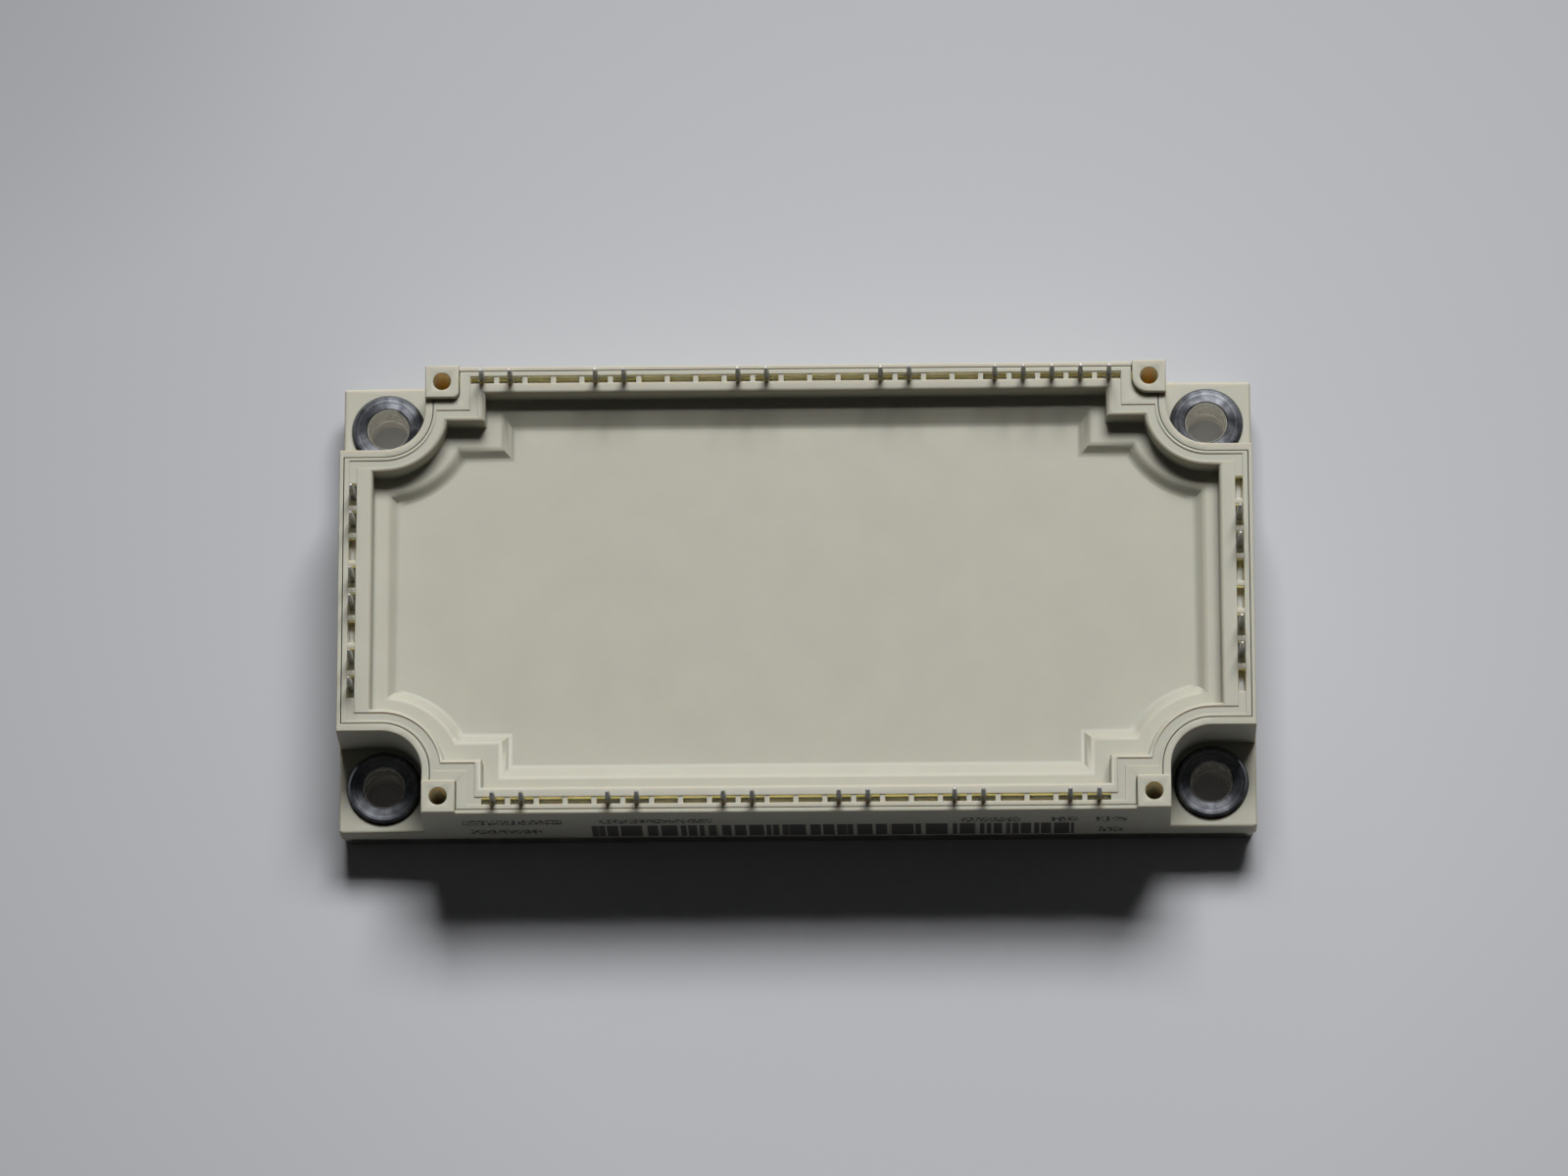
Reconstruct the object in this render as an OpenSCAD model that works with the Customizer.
// Power semiconductor module: a plastic frame and lid on a copper base plate,
// with solder pins on all four sides and three soldered substrates inside.
// The origin is the centre of the base plate's underside, and +Z points up.
// The "back" is +Y, the "front" is -Y, "left" is -X and "right" is +X.

/* [Outline] */
// Overall length, over the mounting ears
module_l = 122; // [121:0.5:140]
// Overall width, over the mounting ears
module_w = 62; // [60:0.5:75]
// Height of the lid's top face above the heat sink
rim_h = 16.1; // [15.5:0.1:22]
// Height of the mounting ears above the heat sink
ear_h = 7; // [5:0.1:9]
// Radius of the upright outer corners
corner_r = 0.4; // [0.1:0.1:1]

/* [Base plate] */
// Thickness of the copper plate
plate_t = 3; // [2:0.1:4]
// How far the plate's edge lies inside the frame's outline
plate_inset = 0.3; // [0.1:0.05:1]
// Radius of the plate's corners
plate_corner_r = 1.2; // [0.5:0.1:3]
// Chamfer round the top of the plate's screw holes
plate_chamfer = 0.25; // [0.1:0.05:0.5]

/* [Mounting holes] */
// Distance of the screw holes from the ends and the sides
mount_inset = 6; // [6:0.1:6.5]
// Diameter of the screw holes in the base plate
screw_hole_d = 5.5; // [4.2:0.1:6]
// How much wider the bore of a bushing is than the plate's hole
bushing_bore_extra = 0; // [0:0.05:0.3]
// Outer diameter of the steel bushings
bushing_d = 9.7; // [9:0.1:10.4]
// How far a bushing stands out of its ear
bushing_rise = 0.8; // [0.2:0.1:1.5]
// Chamfer on the bushing's outer edge
bushing_chamfer = 0.35; // [0.1:0.05:0.6]
// Chamfer on the edge of the bushing's bore
bore_chamfer = 0.25; // [0.1:0.05:0.6]
// Play between the bushing and the ear round it
bushing_clear = 0.05; // [0.02:0.01:0.1]
// Width of the open ring round the top of the bushing
ring_gap = 0.1; // [0.1:0.05:0.4]
// Depth of that ring
ring_depth = 0.5; // [0.3:0.1:2]
// Gap between the bushing and the rounded wall behind it
recess_gap = 0.65; // [0.45:0.05:0.8]

/* [Board stand-offs] */
// Distance of the stand-off holes from the module's ends
standoff_inset_l = 13.75; // [13.5:0.05:14.2]
// Distance of the stand-off holes from the module's long sides
standoff_inset_w = 2.25; // [2.2:0.05:2.6]
// Side of the square stand-off
standoff_size = 4.5; // [4:0.1:4.6]
// Height of the stand-off over the lid
standoff_rise = 0.9; // [0.5:0.1:3]
// Diameter of the blind screw hole
pilot_d = 2.4; // [1.5:0.1:2.8]
// Depth of the blind screw hole
pilot_depth = 8; // [4:0.5:10]
// Radius of the inner corner of the back left stand-off
round_back_left = 0.8; // [0.2:0.1:2.2]
// Radius of the inner corner of the back right stand-off
round_back_right = 2.1; // [0.2:0.1:2.2]
// Radius of the inner corners of the two front stand-offs
round_front = 0.3; // [0.2:0.1:2.2]

/* [Frame] */
// How far the end walls lie inside the ears
end_wall_inset = 0.1; // [0.05:0.05:0.4]
// Distance of the lid's edge from the walls' outer faces
edge_strip = 0.65; // [0.5:0.05:0.7]
// Distance of the lid's edge from the rounded recess walls
recess_strip = 1.1; // [0.8:0.05:1.1]
// Gap between the lid and the frame
lid_clear = 0.1; // [0.05:0.01:0.2]
// Thickness of the rounded recess walls
recess_wall = 1.5; // [1.3:0.05:1.6]
// Depth of the ledge that the pins' feet lie on, under the lid's top face
ledge_drop = 8.1; // [7.6:0.1:8.6]
// Width of that ledge, measured in from the pins
ledge_w = 3.2; // [2.9:0.1:4]
// Height of the comb that holds the pins, over the ledge
comb_h = 5; // [3:0.1:5.5]
// How far the comb reaches in from the middle of the pins
comb_w = 0.6; // [0.45:0.05:0.65]
// Height of the setback under the walls
foot_h = 0.6; // [0.3:0.1:1]
// Depth of the setback under the walls
foot_inset = 0.5; // [0.2:0.1:0.7]

/* [Lid] */
// Thickness of the lid
lid_t = 1.5; // [1:0.1:1.7]
// Width of the groove that the slots lie in
groove_w = 1; // [0.8:0.05:1.1]
// Depth of that groove
groove_depth = 0.15; // [0.1:0.05:0.8]
// Width of the lid between its edge and the groove, at the corners
groove_gap = 1.5; // [1.4:0.05:1.7]
// Width of the rim between the groove and the recess, on the long sides
row_land = 1.45; // [1.2:0.05:1.8]
// Width of the rim between the groove and the recess, on the short sides
column_land = 2.15; // [1.6:0.05:2.6]
// Width of the rim round the corners
corner_land = 0.6; // [0.4:0.05:0.8]
// Width of the rim on the inner side of the stand-offs
standoff_land = 1; // [0.8:0.05:1.2]
// Thickness of the wall round the lid's recess
pan_wall = 1.2; // [0.8:0.05:1.2]
// Depth of the shelf under the rim
shelf_depth = 2.85; // [2:0.05:3]
// Width of the shelf along the sides
shelf_w = 2; // [1.4:0.1:2.6]
// Width of the shelf round the corners
corner_shelf_w = 2.3; // [1.6:0.1:2.8]
// Width of the shelf in front of the stand-offs
standoff_shelf_w = 3; // [1.8:0.1:3.4]
// Depth of the middle panel under the shelf
panel_depth = 1.1; // [0.5:0.05:1.3]
// Width of the slope from the shelf to the panel
bevel_w = 1.2; // [0.6:0.1:2]
// Width of that slope on the long sides
row_bevel_w = 1.7; // [0.8:0.1:2.4]

/* [Pins] */
// Distance between neighbouring slots
pitch = 3.81; // [3.5:0.01:3.83]
// Distance of the pins' rows from the long sides
row_inset = 1.79; // [1.75:0.01:1.9]
// Distance of the pins' columns from the ends
column_inset = 1.945; // [1.9:0.005:2.1]
// Length of a slot in the lid
slot_l = 3.12; // [2.4:0.02:3.3]
// Width of a pin along its row
pin_w = 0.7; // [0.6:0.05:1]
// Thickness of a pin
pin_t = 0.64; // [0.5:0.02:0.7]
// Width of a pin inside the comb
root_w = 1.3; // [1.1:0.05:1.6]
// Height of a pin over the lid
pin_rise = 4.4; // [3:0.1:8]
// Length of a pin's point
tip_l = 2; // [0.5:0.1:2.5]
// Width of the end of the point
tip_w = 0.25; // [0.1:0.05:0.4]
// Length of the foot, measured in from the pin's middle
foot_l = 2.6; // [2:0.1:2.8]
// Gap between a pin and the comb on each side
pin_clear = 0.05; // [0.02:0.01:0.1]

/* [Substrates] */
// Thickness of the solder and copper under the ceramic
back_metal_t = 0.4; // [0.2:0.05:0.6]
// Thickness of the ceramic
ceramic_t = 0.38; // [0.25:0.01:0.8]
// Thickness of the copper tracks
track_t = 0.3; // [0.2:0.05:0.5]
// Gap between two substrates
substrate_gap = 1.6; // [0.8:0.1:3]
// Gap between a substrate and the frame
substrate_margin = 1; // [0.5:0.1:1.5]
// Bare edge of the ceramic round the copper
bare_edge = 0.8; // [0.5:0.1:1.2]
// Gap between neighbouring tracks
track_gap = 0.7; // [0.5:0.1:1]
// Side of a pin's landing pad
landing = 1.8; // [1.4:0.1:1.9]

/* [Chips] */
// Side of an inverter transistor chip
igbt_size = 7; // [5:0.1:7.2]
// Side of the brake transistor chip
brake_size = 6; // [4:0.1:7]
// Side of a freewheeling diode chip
diode_size = 5.4; // [4:0.1:6]
// Side of a rectifier diode chip
rectifier_size = 6; // [4:0.1:6.5]
// Thickness of a chip with its solder
chip_t = 0.3; // [0.2:0.02:0.5]
// Gap between the chips of one column
chip_gap = 1.5; // [1:0.1:2]
// Length of the thermistor
thermistor_l = 3.2; // [2:0.1:4]
// Width of the thermistor
thermistor_w = 1.6; // [1:0.1:2]
// Height of the thermistor
thermistor_h = 1; // [0.5:0.1:1.4]
// Distance of the thermistor from the front edge of its tracks
thermistor_inset = 1.5; // [0.5:0.1:2]

/* [Wires and gel] */
// Thickness of a bond wire
wire_t = 0.3; // [0.2:0.02:0.4]
// Height of a wire's loop over the straight line between its ends
loop_h = 1.4; // [0.8:0.1:2]
// Half the length of a wire's bond
bond_l = 0.4; // [0.3:0.05:0.6]
// Distance between parallel wires on one chip
wire_gap = 1.5; // [0.8:0.1:1.8]
// Gap between the silicone gel and the lid
gel_gap = 0.6; // [0.3:0.05:0.65]

/* [Hidden] */
$fn = 64;
// The slots that hold a pin, counted in pitches from the middle of their side:
// to the right at the back and the front, and to the front on the left and right.
back_wanted = [-11, -10, -7, -6, -2, -1, 3, 4, 7, 8, 9, 10, 11];
front_wanted = [-10.5, -9.5, -6.5, -5.5, -2.5, -1.5, 1.5, 2.5, 5.5, 6.5, 9.5, 10.5];
left_wanted = [-3.5, -2.5, -0.5, 0.5, 2.5, 3.5];
right_wanted = [-2.5, -1.5, 1.5, 2.5];
wire_steps = 6;
wire_lean = 1.5;

far = module_l;
over = 1;
half_l = module_l / 2;
half_w = module_w / 2;
wall_x = half_l - end_wall_inset;
wall_y = half_w;
mount_x = half_l - mount_inset;
mount_y = half_w - mount_inset;
recess_r = bushing_d / 2 + recess_gap;
bushing_top = ear_h + bushing_rise;

post_x = half_l - standoff_inset_l;
post_y = half_w - standoff_inset_w;
tab_x = post_x - standoff_size / 2;
tab_y = post_y - standoff_size / 2;
standoff_top = rim_h + standoff_rise;

row_y = half_w - row_inset;
column_x = half_l - column_inset;
pin_top = rim_h + pin_rise;
pin_back_face = pin_t / 2 + pin_clear;

seat_z = rim_h - lid_t;
ledge_h = rim_h - ledge_drop;
shelf_z = rim_h - shelf_depth;
panel_z = shelf_z - panel_depth;
comb_top = ledge_h + comb_h;
cavity_r = recess_r + recess_wall;
ledge_x = column_x - ledge_w;
ledge_y = row_y - ledge_w;

// As many slots as fit between the turns of the groove: an odd number at the
// back, where one is in the middle, and an even number on the other sides.
row_reach = (tab_x - groove_gap - slot_l / 2) / pitch;
column_reach = (mount_y - recess_r - groove_gap - slot_l / 2) / pitch;
back_slots = 2 * floor(row_reach) + 1;
front_slots = 2 * floor(row_reach + 0.5);
side_slots = 2 * floor(column_reach + 0.5);
function slots(count) = [for (i = [0:count - 1]) i - (count - 1) / 2];

// In a row with fewer slots the outer pins move inwards, each to a slot of its own.
function placed(wanted, count) = let (last = len(wanted) - 1, end = (count - 1) / 2)
    [for (n = [0:last]) clamp(wanted[n], n - end, end - last + n)];
function clamp(v, low, high) = min(max(v, low), high);
back_pins = placed(back_wanted, back_slots);
front_pins = placed(front_wanted, front_slots);
left_pins = placed(left_wanted, side_slots);
right_pins = placed(right_wanted, side_slots);

// The lid's lines are lists of five: half length, half width, radius round
// the mounting hole, distance from the stand-off along X and along Y.
groove_out = [
    column_x + groove_w / 2, row_y + groove_w / 2,
    recess_r + groove_gap, groove_gap, groove_gap
];
groove_in = [for (i = [0:4]) groove_out[i] + (i < 2 ? -groove_w : groove_w)];
recess_line = [
    groove_in[0] - column_land, groove_in[1] - row_land,
    groove_in[2] + corner_land, groove_in[3] + standoff_land, groove_in[4] + corner_land
];
pan_line = [for (i = [0:4]) recess_line[i] + (i < 2 ? pan_wall : -pan_wall)];
shelf_line = [
    recess_line[0] - shelf_w, recess_line[1] - shelf_w,
    recess_line[2] + corner_shelf_w, recess_line[3] + corner_shelf_w,
    recess_line[4] + standoff_shelf_w
];
panel_line = [
    shelf_line[0] - bevel_w, shelf_line[1] - row_bevel_w,
    shelf_line[2] + bevel_w, shelf_line[3] + bevel_w, shelf_line[4] + bevel_w
];

substrate_x = mount_x - cavity_r - substrate_margin / 2;
substrate_l = (2 * substrate_x - 2 * substrate_gap) / 3;
substrate_w = 2 * (ledge_y - substrate_margin);
substrate_pitch = substrate_l + substrate_gap;
ceramic_z = plate_t + back_metal_t;
track_z = ceramic_z + ceramic_t;
pad_z = track_z + track_t;
chip_z = pad_z + chip_t;
landing_x = substrate_l / 2 - bare_edge - landing / 2;
landing_y = substrate_w / 2 - bare_edge - landing / 2;
field_x = landing_x - landing / 2 - track_gap;
field_y = landing_y - landing / 2 - track_gap;
split_y = field_y / 3;
column_w = (2 * field_x - 2 * track_gap) / 3;
column_pitch = column_w + track_gap;
gel_top = panel_z - lid_t - gel_gap;

// Rows of chips on a substrate: transistors at the back, then diodes, and the
// fields that their wires end on at the front.
igbt_y = field_y - igbt_size / 2 - track_gap;
diode_y = igbt_y - (igbt_size + diode_size) / 2 - chip_gap;
front_y = -(split_y + track_gap + field_y) / 2;
thermistor_y = -field_y + thermistor_w / 2 + thermistor_inset;
bond_gap = 2 * bond_l;
function chip_x(i, c) = substrate_at(i) + c * column_pitch;

// Where each pin's wire starts on the pin's foot and ends on its pad.
function substrate_at(i) = substrate_pitch * (i - 1);
function substrate_of(x) = clamp(round(x / substrate_pitch) + 1, 0, 2);
function land_x(x) = let (c = substrate_at(substrate_of(x))) clamp(x, c - landing_x, c + landing_x);
foot_end = foot_l - 2 * bond_l;
back_feet = [for (i = back_pins) [pitch * i, row_y - foot_end]];
front_feet = [for (i = front_pins) [pitch * i, foot_end - row_y]];
left_feet = [for (i = left_pins) [foot_end - column_x, -pitch * i]];
right_feet = [for (i = right_pins) [column_x - foot_end, -pitch * i]];
feet = concat(back_feet, front_feet, left_feet, right_feet);
landings = concat(
    [for (p = back_feet) [land_x(p[0]), landing_y]],
    [for (p = front_feet) [land_x(p[0]), -landing_y]],
    [for (p = left_feet) [substrate_at(0) - landing_x, p[1]]],
    [for (p = right_feet) [substrate_at(2) + landing_x, p[1]]]
);

SIDES = ["left", "middle", "right"];
CORNERS = [["back_left", -1, 1], ["back_right", 1, 1], ["front_left", -1, -1], ["front_right", 1, -1]];
function pin_name(row, pins, n) = str("pin_", row, len(pins) > 9 && n < 9 ? "_0" : "_", n + 1);
function pin_names(row, pins) = [for (n = [0:len(pins) - 1]) pin_name(row, pins, n)];

// ---------------------------------------------------------------- outlines

module rounded_rect(x, y, r) {
    square([2 * (x - r), 2 * y], center = true);
    square([2 * x, 2 * (y - r)], center = true);
    for (sx = [-1, 1], sy = [-1, 1]) translate([sx * (x - r), sy * (y - r)]) circle(r);
}

module at_corners() {
    for (mx = [0, 1], my = [0, 1]) mirror([mx, 0]) mirror([0, my]) children();
}

// Everything outside a rounded wall that runs round a mounting hole.
module outside_mount(r) {
    translate([mount_x, mount_y]) {
        circle(r);
        translate([-r, 0]) square(far);
        translate([0, -r]) square(far);
    }
}

module inside_line(line) {
    difference() {
        square([2 * line[0], 2 * line[1]], center = true);
        at_corners() {
            outside_mount(line[2]);
            translate([tab_x - line[3], tab_y - line[4]]) square(far);
        }
    }
}

// The box inside the walls, without the rounded corners.
module inside_walls(x, y, r) {
    difference() {
        square([2 * x, 2 * y], center = true);
        at_corners() outside_mount(r);
    }
}

// A stand-off's corner of the module, with its inner corner rounded.
module tab(r, grow) {
    size = standoff_size / 2 + grow;
    translate([-size, -size]) difference() {
        square(far);
        difference() {
            square(2 * r, center = true);
            translate([r, r]) circle(r);
        }
    }
}

module tabs(grow) {
    mirror([1, 0]) translate([post_x, post_y]) tab(round_back_left + grow, grow);
    translate([post_x, post_y]) tab(round_back_right + grow, grow);
    for (mx = [0, 1]) mirror([mx, 0]) mirror([0, 1])
        translate([post_x, post_y]) tab(round_front + grow, grow);
}

// -------------------------------------------------------------- pin places

module at_back(i) { translate([pitch * i, row_y]) children(); }
module at_front(i) { translate([pitch * i, -row_y]) rotate(180) children(); }
module at_left(i) { translate([-column_x, -pitch * i]) rotate(90) children(); }
module at_right(i) { translate([column_x, -pitch * i]) rotate(-90) children(); }

module at_every_slot() {
    for (i = slots(back_slots)) at_back(i) children();
    for (i = slots(front_slots)) at_front(i) children();
    for (i = slots(side_slots)) {
        at_left(i) children();
        at_right(i) children();
    }
}

// -------------------------------------------------------------- base plate

module base_plate() {
    color("#b9b6ab") difference() {
        linear_extrude(plate_t)
            rounded_rect(half_l - plate_inset, half_w - plate_inset, plate_corner_r);
        at_corners() translate([mount_x, mount_y]) screw_hole();
    }
}

module screw_hole() {
    r = screw_hole_d / 2;
    translate([0, 0, -over]) cylinder(h = plate_t + 2 * over, r = r);
    translate([0, 0, plate_t - plate_chamfer])
        cylinder(h = plate_chamfer, r1 = r, r2 = r + plate_chamfer);
}

// ---------------------------------------------------------------- bushings

module bushing() {
    bore = (screw_hole_d + bushing_bore_extra) / 2;
    edge = bushing_d / 2;
    translate([mount_x, mount_y]) rotate_extrude() polygon([
        [bore, plate_t],
        [edge, plate_t],
        [edge, bushing_top - bushing_chamfer],
        [edge - bushing_chamfer, bushing_top],
        [bore + bore_chamfer, bushing_top],
        [bore, bushing_top - bore_chamfer]
    ]);
}

module bushing_at(corner) {
    color("#8f9093") mirror([corner[1] < 0 ? 1 : 0, 0]) mirror([0, corner[2] < 0 ? 1 : 0]) bushing();
}

// ------------------------------------------------------------------- frame

module walls_outline(inset) {
    difference() {
        rounded_rect(wall_x - inset, wall_y - inset, corner_r);
        at_corners() outside_mount(recess_r + inset);
    }
}

module frame() {
    color("#dcd9c9") difference() {
        union() {
            translate([0, 0, plate_t]) linear_extrude(foot_h)
                rounded_rect(half_l - foot_inset, half_w - foot_inset, corner_r);
            translate([0, 0, plate_t + foot_h]) linear_extrude(ear_h - plate_t - foot_h)
                rounded_rect(half_l, half_w, corner_r);
            translate([0, 0, plate_t + foot_h]) linear_extrude(rim_h - plate_t - foot_h)
                walls_outline(0);
            standoffs();
        }
        frame_inside();
        at_every_slot() pin_channel();
        at_corners() translate([mount_x, mount_y]) bushing_hole();
        at_corners() translate([post_x, post_y, standoff_top - pilot_depth])
            cylinder(h = pilot_depth + over, r = pilot_d / 2);
    }
}

module standoffs() {
    translate([0, 0, ledge_h]) linear_extrude(standoff_top - ledge_h) intersection() {
        tabs(0);
        walls_outline(0);
    }
}

// The hollow of the frame, from the lid's seat down to the base plate.
module frame_inside() {
    // seat of the lid
    translate([0, 0, seat_z]) linear_extrude(standoff_top) difference() {
        lid_outline(lid_clear);
        tabs(0);
    }
    // over the comb
    translate([0, 0, comb_top]) linear_extrude(standoff_top) difference() {
        inside_walls(column_x + pin_back_face, row_y + pin_back_face, cavity_r);
        tabs(0);
    }
    // between the combs
    translate([0, 0, ledge_h]) linear_extrude(standoff_top) difference() {
        inside_walls(column_x - comb_w, row_y - comb_w, cavity_r);
        tabs(0);
    }
    // round the substrates
    translate([0, 0, plate_t - over]) linear_extrude(ledge_h)
        inside_walls(ledge_x, ledge_y, cavity_r);
}

module pin_channel() {
    w = root_w + 2 * pin_clear;
    translate([-w / 2, -comb_w - over, ledge_h]) cube([w, comb_w + over + pin_back_face, comb_h + over]);
}

module bushing_hole() {
    r = bushing_d / 2;
    translate([0, 0, plate_t - over]) cylinder(h = ear_h, r = r + bushing_clear);
    translate([0, 0, ear_h - ring_depth]) cylinder(h = ring_depth + over, r = r + ring_gap);
}

// --------------------------------------------------------------------- lid

module lid_outline(grow) {
    difference() {
        square([2 * (wall_x - edge_strip + grow), 2 * (wall_y - edge_strip + grow)], center = true);
        at_corners() outside_mount(recess_r + recess_strip - grow);
    }
}

module lid() {
    color("#e0ddcd") difference() {
        union() {
            translate([0, 0, seat_z]) linear_extrude(lid_t) difference() {
                lid_outline(0);
                tabs(lid_clear);
            }
            translate([0, 0, shelf_z - lid_t]) linear_extrude(shelf_depth) inside_line(pan_line);
            translate([0, 0, panel_z - lid_t]) linear_extrude(panel_depth + lid_t / 2)
                inside_line(shelf_line);
        }
        translate([0, 0, shelf_z]) linear_extrude(far) inside_line(recess_line);
        panel_recess();
        translate([0, 0, rim_h - groove_depth]) linear_extrude(far) difference() {
            inside_line(groove_out);
            inside_line(groove_in);
        }
        at_every_slot() translate([-slot_l / 2, -groove_w / 2, seat_z - over])
            cube([slot_l, groove_w, lid_t + over]);
    }
}

// The shallow recess with sloping sides that makes the middle panel.
module panel_recess() {
    difference() {
        intersection() {
            slope_along_y(-panel_line[0], -shelf_line[0], panel_line[0], shelf_line[0]);
            slope_along_x(-panel_line[1], -shelf_line[1], panel_line[1], shelf_line[1]);
        }
        at_corners() {
            translate([mount_x, mount_y, 0]) rotate(180) rotate_extrude(angle = 90)
                polygon([
                    [0, 0], [panel_line[2], 0], [panel_line[2], panel_z],
                    [shelf_line[2], shelf_z], [0, shelf_z]
                ]);
            intersection() {
                slope_along_x(mount_y - panel_line[2], mount_y - shelf_line[2], far, far);
                translate([mount_x, 0, 0]) cube(far);
            }
            intersection() {
                slope_along_y(tab_x - panel_line[3], tab_x - shelf_line[3], far, far);
                slope_along_x(tab_y - panel_line[4], tab_y - shelf_line[4], far, far);
            }
        }
    }
}

// Prisms between panel and shelf height, with the first and last edge given
// at the panel and at the shelf.
function slope_points(a0, a1, b0, b1) = [[a0, panel_z], [b0, panel_z], [b1, shelf_z], [a1, shelf_z]];

module slope_along_y(a0, a1, b0, b1) {
    rotate([90, 0, 0]) linear_extrude(2 * far, center = true) polygon(slope_points(a0, a1, b0, b1));
}

module slope_along_x(a0, a1, b0, b1) {
    rotate([90, 0, 90]) linear_extrude(2 * far, center = true) polygon(slope_points(a0, a1, b0, b1));
}

// -------------------------------------------------------------------- pins

// A pin that stands in its channel, with its foot on the ledge: the
// intersection of its front view and its side view.
module pin() {
    color("#c9c8c2") intersection() {
        rotate([90, 0, 0]) linear_extrude(2 * foot_l + 2 * over, center = true) polygon([
            [-root_w / 2, ledge_h], [root_w / 2, ledge_h],
            [root_w / 2, comb_top], [pin_w / 2, comb_top],
            [pin_w / 2, pin_top - tip_l], [tip_w / 2, pin_top],
            [-tip_w / 2, pin_top], [-pin_w / 2, pin_top - tip_l],
            [-pin_w / 2, comb_top], [-root_w / 2, comb_top]
        ]);
        rotate([90, 0, 90]) linear_extrude(2 * root_w, center = true) polygon([
            [-foot_l, ledge_h], [0, ledge_h], [pin_t / 2, ledge_h + pin_t / 2],
            [pin_t / 2, pin_top - tip_l], [tip_w / 2, pin_top],
            [-tip_w / 2, pin_top], [-pin_t / 2, pin_top - tip_l],
            [-pin_t / 2, ledge_h + 1.5 * pin_t], [-pin_t, ledge_h + pin_t],
            [-foot_l, ledge_h + pin_t]
        ]);
    }
}

// -------------------------------------------------------------- substrates

module back_metal(i) {
    color("#b4714a") translate([substrate_at(i), 0, plate_t])
        block(substrate_l / 2 - bare_edge, substrate_w / 2 - bare_edge, back_metal_t);
}

module ceramic(i) {
    color("#f4f3ee") translate([substrate_at(i), 0, ceramic_z])
        block(substrate_l / 2, substrate_w / 2, ceramic_t);
}

module block(x, y, h) {
    translate([-x, -y, 0]) cube([2 * x, 2 * y, h]);
}

// Copper fields under the chips: one wide field towards the back, three
// fields towards the front, and a pad for each pin.
module tracks(i) {
    color("#c07a4e") {
        translate([substrate_at(i), 0, track_z]) {
            translate([-field_x, -split_y, 0]) cube([2 * field_x, field_y + split_y, track_t]);
            for (c = [-1:1]) translate([c * column_pitch - column_w / 2, -field_y, 0])
                cube([column_w, field_y - split_y - track_gap, track_t]);
        }
        for (p = landings) if (substrate_of(p[0]) == i)
            translate([p[0], p[1], track_z]) block(landing / 2, landing / 2, track_t);
    }
}

// ------------------------------------------------------------------- chips

module chip(x, y, size) {
    translate([x, y, pad_z]) block(size / 2, size / 2, chip_t);
}

module igbt_chips() {
    color("#4d5258") {
        for (i = [1, 2], c = [-1:1]) chip(chip_x(i, c), igbt_y, igbt_size);
        chip(chip_x(0, 0), front_y, brake_size);
    }
}

module freewheel_chips() {
    color("#5b6068") for (i = [1, 2], c = [-1:1]) chip(chip_x(i, c), diode_y, diode_size);
}

module rectifier_chips() {
    color("#6a6e74") for (y = [igbt_y, diode_y], c = [-1:1]) chip(chip_x(0, c), y, rectifier_size);
}

// The thermistor bridges the gap between two tracks.
module thermistor() {
    color("#2f5d3a") translate([substrate_at(1) + column_pitch / 2, thermistor_y, pad_z])
        block(thermistor_l / 2, thermistor_w / 2, thermistor_h);
}

// ------------------------------------------------------------------- wires

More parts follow.
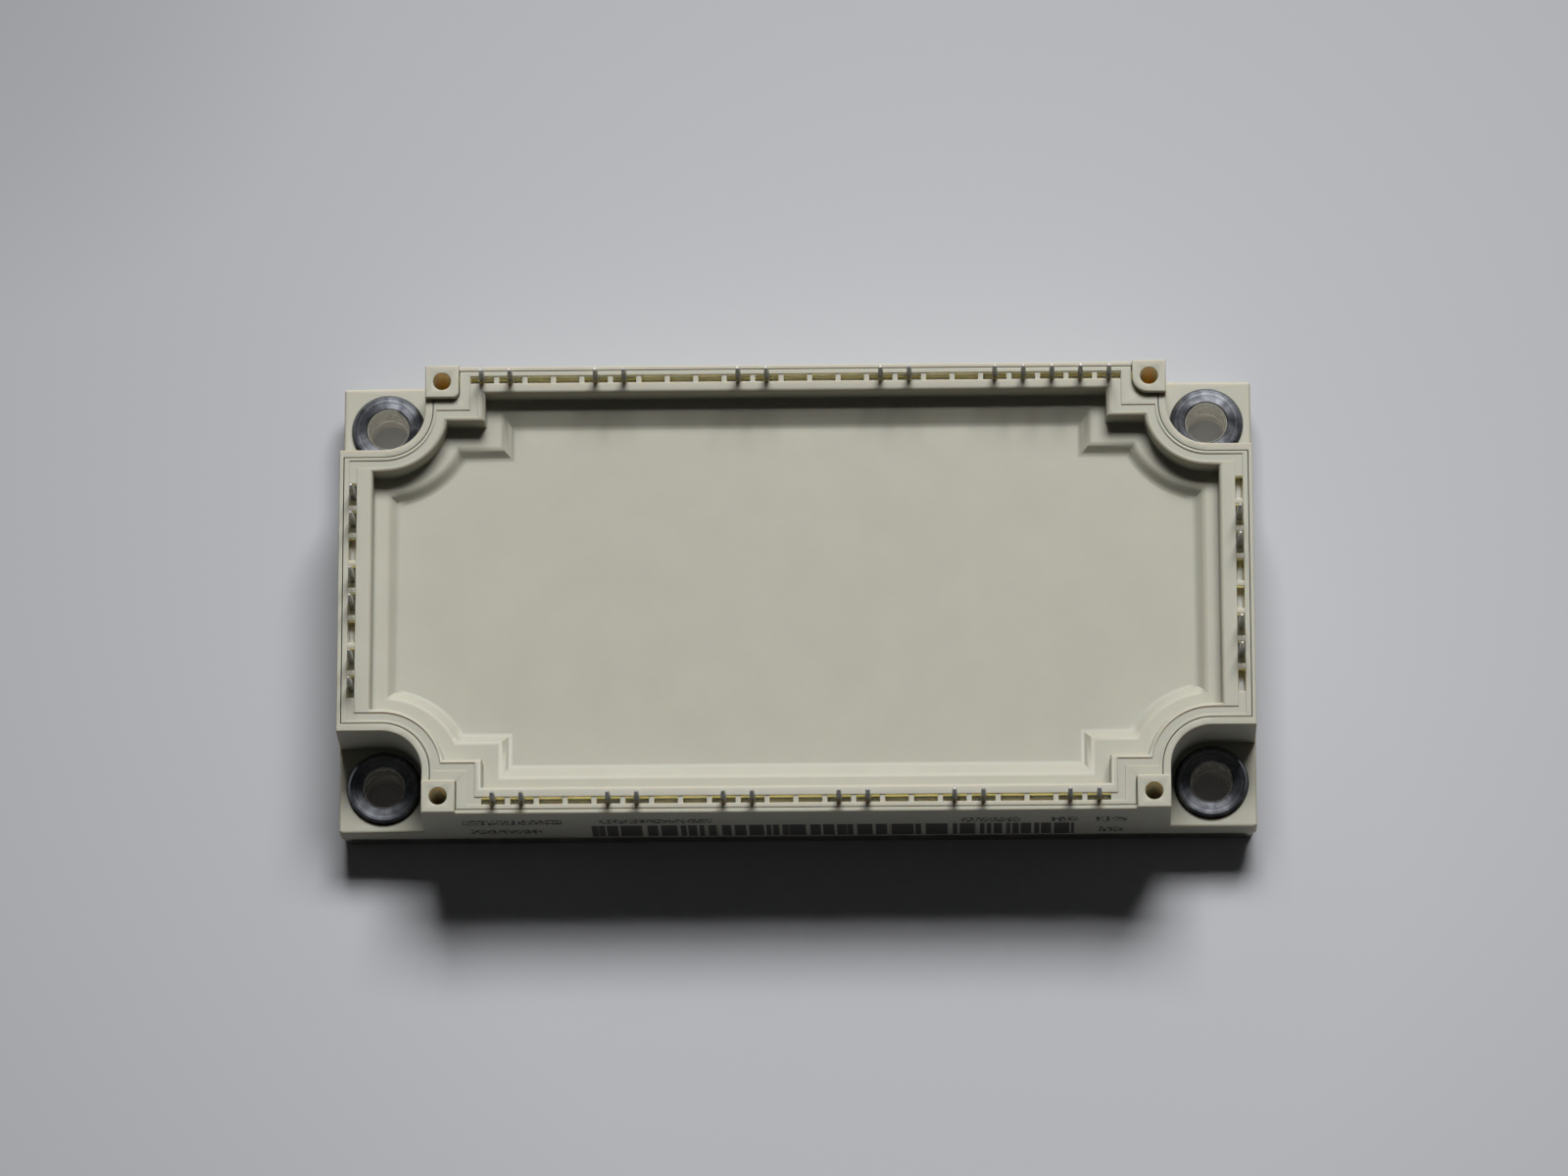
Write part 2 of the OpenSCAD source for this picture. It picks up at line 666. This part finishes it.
// A flat-sided wire from p to q, whose third numbers are the heights of the
// faces that its ends are bonded to.
module wire(p, q) {
    span = norm([q[0] - p[0], q[1] - p[1]]);
    path = concat(
        [[-bond_l, p[2]]],
        [for (k = [0:wire_steps]) let (u = k / wire_steps) [
            bond_l + u * (span - 2 * bond_l),
            p[2] + pow(u, wire_lean) * (q[2] - p[2]) + loop_h * sin(180 * u)
        ]],
        [[span + bond_l, q[2]]]
    );
    n = len(path) - 1;
    upper = [for (k = [n:-1:0])
        let (t = path[min(k + 1, n)] - path[max(k - 1, 0)])
        path[k] + wire_t * [-t[1], t[0]] / norm(t)];
    translate([p[0], p[1], 0]) rotate(atan2(q[1] - p[1], q[0] - p[0]))
        rotate([90, 0, 0]) linear_extrude(wire_t, center = true) polygon(concat(path, upper));
}

module pin_wires() {
    color("#d5d5d2") for (n = [0:len(feet) - 1])
        wire([feet[n][0], feet[n][1], ledge_h + pin_t], [landings[n][0], landings[n][1], pad_z]);
}

module chip_wires() {
    color("#d5d5d2") for (i = [0:2], c = [-1:1], w = [-1:1]) {
        x = chip_x(i, c) + w * wire_gap;
        wire([x, igbt_y, chip_z], [x, diode_y + bond_gap, chip_z]);
        wire([x, diode_y - bond_gap, chip_z], [x, front_y, i == 0 && c == 0 ? chip_z : pad_z]);
    }
}

// --------------------------------------------------------------------- gel

module silicone_gel() {
    color("#dfe6e4", 0.4) difference() {
        union() {
            translate([0, 0, plate_t]) linear_extrude(ledge_h - plate_t)
                inside_walls(ledge_x, ledge_y, cavity_r);
            translate([0, 0, ledge_h]) linear_extrude(gel_top - ledge_h) difference() {
                inside_walls(column_x - comb_w, row_y - comb_w, cavity_r);
                tabs(0);
            }
        }
        for (i = [0:2]) {
            back_metal(i);
            ceramic(i);
            tracks(i);
        }
        igbt_chips();
        freewheel_chips();
        rectifier_chips();
        thermistor();
        pin_wires();
        chip_wires();
        all_pins();
    }
}

module all_pins() {
    for (i = back_pins) at_back(i) pin();
    for (i = front_pins) at_front(i) pin();
    for (i = left_pins) at_left(i) pin();
    for (i = right_pins) at_right(i) pin();
}

base_plate();
frame();
lid();
for (c = CORNERS) bushing_at(c);
for (n = [0:len(back_pins) - 1])
    at_back(back_pins[n]) pin();
for (n = [0:len(front_pins) - 1])
    at_front(front_pins[n]) pin();
for (n = [0:len(left_pins) - 1])
    at_left(left_pins[n]) pin();
for (n = [0:len(right_pins) - 1])
    at_right(right_pins[n]) pin();
for (i = [0:2]) {
    back_metal(i);
    ceramic(i);
    tracks(i);
}
igbt_chips();
freewheel_chips();
rectifier_chips();
thermistor();
pin_wires();
chip_wires();
silicone_gel();
